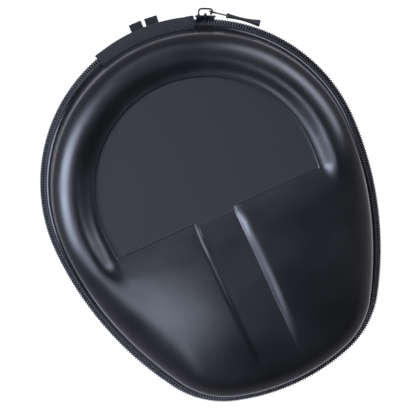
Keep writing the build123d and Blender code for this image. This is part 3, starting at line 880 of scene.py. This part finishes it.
bridge_line = [
    (-4.15, 1.7, 0), (-4.2, 3.0, 0), (-4.2, 4.6, 0), (-3.4, 5.8, 0), (-1.6, 6.0, 0), (1.0, 5.95, 0),
    (3.0, 5.9, 0), (4.2, 5.3, 0), (4.25, 3.9, 0), (3.7, 2.85, 0), (2.8, 2.75, 0),
]
bridge = wire("bridge", bridge_line, 1.1)
bridge.data.transform(Matrix.Diagonal((1, 1, 1.7, 1)))
bpy.ops.mesh.primitive_cylinder_add(
    vertices=20, radius=0.95, depth=0.7, location=(-4.15, 2.05, 0), rotation=(math.pi / 2, 0, 0)
)
boss = bpy.context.object
bpy.ops.object.transform_apply(location=True, rotation=True, scale=True)
boss.data.transform(Matrix.Diagonal((1, 1, 1.35, 1)))
applied(boss, "BEVEL", width=0.2, segments=3, limit_method="ANGLE", angle_limit=math.radians(50))
slider_turn = math.radians(24.9)
slider = joined("slider_body", front_plate, back_plate, *lips, neck, bridge, boss)
slider.data.materials.clear()
slider.data.materials.append(black_zinc)
settled(slider, at_turn(slider_turn, wide_radius))
smoothed(40)
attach(slider, "slider")
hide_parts("zip_slider")

# ---- Pull ----------------------------------------------------------------------------------------
# A bent wire loop hangs in the bridge, and its flat stem is moulded into a soft PVC grip with a
# collar at its head, a thin waist and a ribbed, flared end.
pull_turn = slider_turn + math.radians(12.8)
pull_along = Vector((math.cos(pull_turn), -math.sin(pull_turn), 0))
pull_axes = Matrix((pull_along, (-pull_along.y, pull_along.x, 0), (0, 0, 1))).transposed().to_4x4()
pull_place = Matrix.Translation(pivots["pull_swing"]) @ Matrix.Scale(MM, 4) @ pull_axes
loop_line = [
    (0, 0, 0), (0, 0, 1.1), (0.1, 0, 1.85), (1.2, 0, 1.9), (3.2, 0, 1.85), (4.5, 0, 1.2),
    (4.7, 0, 0), (4.5, 0, -1.2), (3.2, 0, -1.85), (1.2, 0, -1.9), (0.1, 0, -1.85), (0, 0, -1.1),
]
loop = wire("loop", loop_line, 0.86, cyclic=True, resolution=8)
stem = block((8.0, 0.8, 2.5), (8.4, 0, 0))
for vertex in stem.data.vertices:
    if vertex.co.x < 8:
        vertex.co.z *= 0.62
applied(stem, "BEVEL", width=0.22, segments=3)
link = joined("pull_link_wire", loop, stem)
link.data.materials.clear()
link.data.materials.append(black_zinc)
settled(link, pull_place)
smoothed(40)
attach(link, "pull")
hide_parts("pull_link")

# along the grip, half its thickness there, and half its height
stations, thick, tall = np.array([
    (0.0, 0.0, 0.0), (0.1, 1.0, 2.2), (0.45, 1.45, 2.7), (0.9, 1.6, 2.9), (1.5, 1.6, 2.9), (2.0, 1.4, 2.75),
    (2.5, 1.28, 2.65), (3.2, 1.2, 2.7), (4.5, 1.12, 2.85), (6.5, 0.98, 3.05), (9.0, 0.9, 3.2), (11.5, 0.95, 3.3),
    (14.0, 1.12, 3.35), (16.5, 1.4, 3.4), (18.5, 1.72, 3.42), (20.3, 2.0, 3.42), (21.1, 2.05, 3.4),
    (21.4, 1.85, 3.25), (21.5, 0.0, 0.0),
]).T
fine = np.unique(np.concatenate([stations, np.arange(12.0, 20.6, 0.15)]))
rib = 0.11 * np.cos(2 * np.pi * (fine - 12.0) / 0.9) * (fine > 12.2) * (fine < 20.3)
half_thick = np.interp(fine, stations, thick) + rib
half_tall = np.interp(fine, stations, tall) + 0.4 * rib
around = np.linspace(0, 2 * np.pi, 41)
sine, cosine = (np.sign(part) * np.abs(part) ** 0.5 for part in (np.sin(around), np.cos(around)))
grip_points = np.stack([
    np.broadcast_to(10.5 + fine[:, None], (len(fine), 41)),
    half_thick[:, None] * sine[None],
    half_tall[:, None] * cosine[None],
], 2)
grip = wrapped("moulded_grip", grip_points)
soft_pvc, tree, shader = finish_of("soft_PVC", Specular_IOR_Level=0.4)
haze = grain_of(tree, shader, 1700.0, 0.35, 0.0002)
coloured(
    tree, shader, haze, ((0.3, (0.006, 0.006, 0.0065)), (0.75, (0.016, 0.016, 0.017))), ((0.3, 0.5), (0.7, 0.62))
)
closed(grip, 50)
grip.data.materials.append(soft_pvc)
grip.data.transform(pull_place @ Matrix.Scale(1 / MM, 4))
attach(grip, "pull")
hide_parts("pull_grip")

# ---- Mesh pocket in the lid ----------------------------------------------------------------------
# Elastic net, stretched flat over the lid's narrow half and caught under the binding, with a
# gathered elastic hem across the middle for its mouth.
net_inset, net_height, hem_y = 12.35, 3.6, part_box("pocket_hem")[1].y / MM
edge_spokes = Spokes(np.linspace(0, 2 * half_run, 1501))
caught_edge = np.concatenate(edge_spokes.at(np.full((1501, 1), net_inset)), 1)
bpy.ops.mesh.primitive_grid_add(x_subdivisions=110, y_subdivisions=110, size=1)
net = bpy.context.object
net.name = "stretched_net"
cell = 1.95
diamonds = Matrix.Diagonal((1.06, 0.94, 1, 1)) @ Matrix.Rotation(math.pi / 4, 4, "Z") @ Matrix.Scale(110 * cell, 4)
net.data.transform(Matrix.Translation((0, -62, 0)) @ diamonds)
editing()
bpy.ops.mesh.bisect(plane_co=(0, hem_y - 1.5, 0), plane_no=(0, 1, 0), clear_outer=True)
edited()
co = places_of(net)
nearest = np.array([np.hypot(*(caught_edge - point[:2]).T).argmin() for point in co])
outward = edge_spokes.out[nearest]
beyond = ((co[:, :2] - caught_edge[nearest]) * outward).sum(1)
keep = beyond < 1.3
snapped = np.where((beyond > -0.5)[:, None], caught_edge[nearest], co[:, :2])
bpy.ops.object.mode_set(mode="EDIT")
bpy.ops.mesh.select_mode(type="VERT")
grid = bmesh.from_edit_mesh(net.data)
for vertex, held in zip(grid.verts, keep):
    vertex.select_set(not held)
bmesh.update_edit_mesh(net.data)
edited()
net_places = np.concatenate([snapped, co[:, 2:] + net_height + parting], 1)
placed(net, net_places.astype(np.float32) * MM)
bpy.ops.object.mode_set(mode="EDIT")
bpy.ops.mesh.delete(type="VERT")
bpy.ops.mesh.select_all(action="SELECT")
bpy.ops.mesh.remove_doubles(threshold=0.0002)
edited()
applied(net, "WIREFRAME", thickness=0.66 * MM, use_even_offset=False, use_boundary=True)
smoothed(80)
yarn, tree, shader = finish_of("net_yarn", Specular_IOR_Level=0.3, Sheen_Weight=0.4)
place = node(tree, "TexCoord").outputs["Object"]
wave = node(tree, "TexWave", Vector=place, Scale=900.0, Distortion=2.0, bands_direction="DIAGONAL")
knit = wave.outputs["Fac"]
coloured(tree, shader, knit, ((0.2, (0.004, 0.004, 0.005)), (0.8, (0.016, 0.016, 0.018))), ((0.2, 0.85), (0.8, 0.6)))
bumped(tree, shader, knit, 0.8, 0.0001)
net.data.materials.append(yarn)

hem_chord = math.sqrt((flank_radius - net_inset) ** 2 - (hem_y - 8.0 - wide_y) ** 2)
hem_end = wide_radius - flank_radius + hem_chord - 0.2
upper_ring = np.array([
    (4.0, 0.0), (3.7, 0.55), (3.0, 0.85), (2.2, 0.7), (0.0, 0.78), (-2.2, 0.7), (-3.0, 0.85), (-3.7, 0.55),
])
hem_ring = np.concatenate([upper_ring, -upper_ring, upper_ring[:1]])
hem_run = np.linspace(-hem_end, hem_end, 301)
gather = 1 + 0.16 * np.sin(hem_run * 2.1) + 0.1 * np.sin(hem_run * 3.7 + 1.0)
wander = 0.12 * np.sin(hem_run * 0.9)
hem_points = np.stack([
    np.broadcast_to(hem_run[:, None], (301, 17)),
    hem_y - 4.0 + hem_ring[None, :, 0] * 0.96 + wander[:, None],
    parting + net_height + hem_ring[None, :, 1] * gather[:, None],
], 2)
hem = capped(wrapped("gathered_hem", hem_points), 60)
hem_cloth = woven(
    "elastic_hem", 2 * hem_end, 19.0, 0.7, (0.006, 0.006, 0.007), (0.028, 0.028, 0.031), strength=0.9, depth=0.0003
)
hem.data.materials.append(hem_cloth)
for piece, name, slot in ((net, "pocket_net", "net"), (hem, "pocket_hem", "hem")):
    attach(piece, "lid")
    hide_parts(name)
drop(stitch)

# ---- Camera, floor and light ---------------------------------------------------------------------
# The case lies on its lower half on a bright white table, seen from nearly overhead. A large cool
# softbox stands on one side, a wide weaker one across from it, and a faint one past the hinge. Two
# small narrow ones pick out one lobe. The room is bright below and dark above.
camera = bpy.data.cameras.new("camera")
camera.sensor_width = 36.0
camera.lens = 103.4
camera_object = bpy.data.objects.new("camera", camera)
bpy.context.collection.objects.link(camera_object)
bpy.context.scene.camera = camera_object
tilt, roll = math.radians(84.3), math.radians(24.6)
back = Vector((0, math.cos(tilt), math.sin(tilt)))
level_up = (Vector((0, 1, 0)) - back * back.y).normalized()
level_right = (-back).cross(level_up)
up = level_up * math.cos(roll) + level_right * math.sin(roll)
right = (-back).cross(up)
target = Vector((0, -3.3, parting)) * MM - right * 0.00535 + up * 0.00176
distance = 0.75
camera_axes = Matrix((right, up, back)).transposed().to_4x4()
camera_object.matrix_world = Matrix.Translation(target + back * distance) @ camera_axes

bpy.ops.mesh.primitive_plane_add(size=6.0, location=(0, 0, 0))
floor = bpy.context.object
floor.name = "table"
white, tree, shader = finish_of("white_table", Roughness=0.9, Emission_Color=(1, 1, 1, 1), Emission_Strength=1.0)
coloured(tree, shader, noise_of(tree, 3.0), ((0.3, 0.07), (0.7, 0.08)))
floor.data.materials.append(white)
floor.visible_glossy = False


def softbox(name, place, aim, size, power, colour):
    """A square area light that faces a point."""
    light = bpy.data.lights.new(name, "AREA")
    light.shape, light.size, light.size_y = "RECTANGLE", size[0], size[1]
    light.energy, light.color = power, colour
    holder = bpy.data.objects.new(name, light)
    bpy.context.collection.objects.link(holder)
    holder.location = place
    holder.rotation_euler = (Vector(aim) - Vector(place)).to_track_quat("-Z", "Y").to_euler()
    return holder


centre = Vector((0, 0, 0.05))
view_axes = Matrix.Rotation(-roll, 3, "Z")
for name, place, size, power, colour in (
    ("key_light", (-0.78, -0.03, 0.62), (0.65, 0.62), 25.0, (0.70, 0.78, 1.0)),
    ("fill_light", (0.57, 0.61, 0.55), (0.9, 0.45), 13.0, (0.79, 0.83, 1.0)),
    ("back_light", (-0.4, 0.75, 0.53), (0.5, 0.4), 1.2, (0.75, 0.79, 1.0)),
):
    softbox(name, centre + view_axes @ Vector(place), centre, size, power, colour)
for name, place, aim, side, power in (
    ("lobe_light", (-0.245, -0.185, 0.54), (-0.045, -0.07, 0.1), 0.22, 0.05),
    ("flank_light", (-0.33, -0.21, 0.4), (-0.07, -0.03, 0.1), 0.26, 0.05),
):
    narrow = softbox(name, place, aim, (side, side), power, (0.72, 0.79, 1.0))
    narrow.data.spread = math.radians(25.0)
world = bpy.data.worlds.new("studio")
bpy.context.scene.world = world
bpy.context.scene.view_settings.view_transform = "Standard"
world.use_nodes = True
tree = world.node_tree
sky = node(tree, "SeparateXYZ", Vector=node(tree, "TexCoord").outputs["Generated"])
rise = node(tree, "MapRange", Value=sky.outputs["Z"], From_Min=-1.0, From_Max=1.0)
glow = ramp_of(
    tree, rise.outputs["Result"], (0.0, (0.9, 0.9, 0.98)), (0.04, (0.75, 0.75, 0.82)), (0.12, (0.25, 0.25, 0.29)),
    (0.5, (0.2, 0.2, 0.235)), (0.53, (0.045, 0.047, 0.06)),
)
tree.links.new(glow, tree.nodes["Background"].inputs["Color"])
